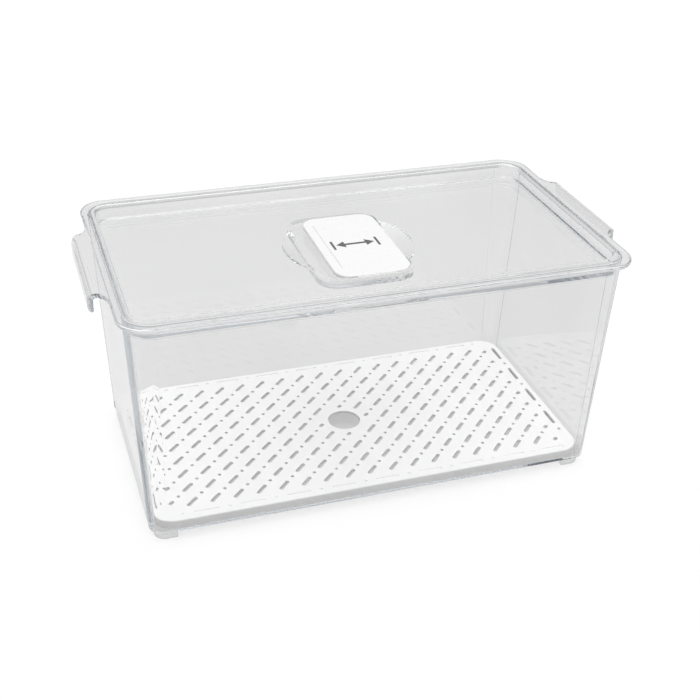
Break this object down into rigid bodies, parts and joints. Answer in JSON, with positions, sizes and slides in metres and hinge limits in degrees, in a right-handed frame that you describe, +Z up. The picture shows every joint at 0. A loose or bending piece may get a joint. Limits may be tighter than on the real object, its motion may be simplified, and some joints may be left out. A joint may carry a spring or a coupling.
{
  "type": "refrigerator storage bin",
  "caption": "Clear plastic fridge bin with leaning walls, a pull handle at each end, a drop-in lid with a sliding white vent cover, and a white perforated drain tray on its floor.",
  "frame": {"origin": "on the surface the bin stands on, under the middle of the bin", "axes": "+X along the length, +Y from the front to the back, +Z up"},
  "size_m": [0.343, 0.1826, 0.1593],
  "materials": {
    "clear_plastic": "clear and glossy",
    "clear_plastic_lid": "clear and glossy",
    "white_gloss": "white, light gloss",
    "white_satin": "white, satin"
  },
  "bodies": {
    "bin": {"bin": "clear_plastic"},
    "lid": {"lid": "clear_plastic_lid"},
    "vent_slider": {"vent_slider": "white_gloss"},
    "drain_tray": {"drain_tray": "white_satin"}
  },
  "joints": [
    {"name": "lid_lift", "type": "slide", "parent": "bin", "child": "lid", "axis": [0, 0, 1], "range_m": [0, 0.1]},
    {"name": "vent_slide", "type": "slide", "parent": "lid", "child": "vent_slider", "axis": [-1, 0, 0], "range_m": [0, 0.0088]},
    {"name": "tray_lift", "type": "slide", "parent": "bin", "child": "drain_tray", "axis": [0, 0, 1], "range_m": [0, 0.12]}
  ]
}
